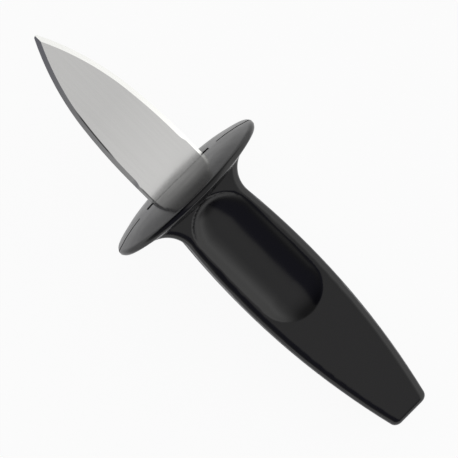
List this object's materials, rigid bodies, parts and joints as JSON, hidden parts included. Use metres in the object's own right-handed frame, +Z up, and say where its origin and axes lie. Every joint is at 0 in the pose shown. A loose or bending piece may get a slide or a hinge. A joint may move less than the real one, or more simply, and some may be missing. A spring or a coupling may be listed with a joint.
{
  "type": "oyster knife",
  "caption": "Oyster knife: short pointed bevelled blade, round guard and tapered handle with thumb scoops, lying at rest.",
  "frame": {"origin": "on the table, under the middle of the knife's overall box", "axes": "+X along the knife towards the tip, +Z up; the knife lies on the guard's rim and the butt's lower edge, so its own axis rises a little towards the tip"},
  "size_m": [0.1578, 0.0554, 0.0545],
  "materials": {
    "steel": "satin ground stainless steel",
    "black_plastic": "glossy black moulded plastic"
  },
  "bodies": {
    "root": {"blade": "steel", "handle": "black_plastic"}
  },
  "joints": []
}
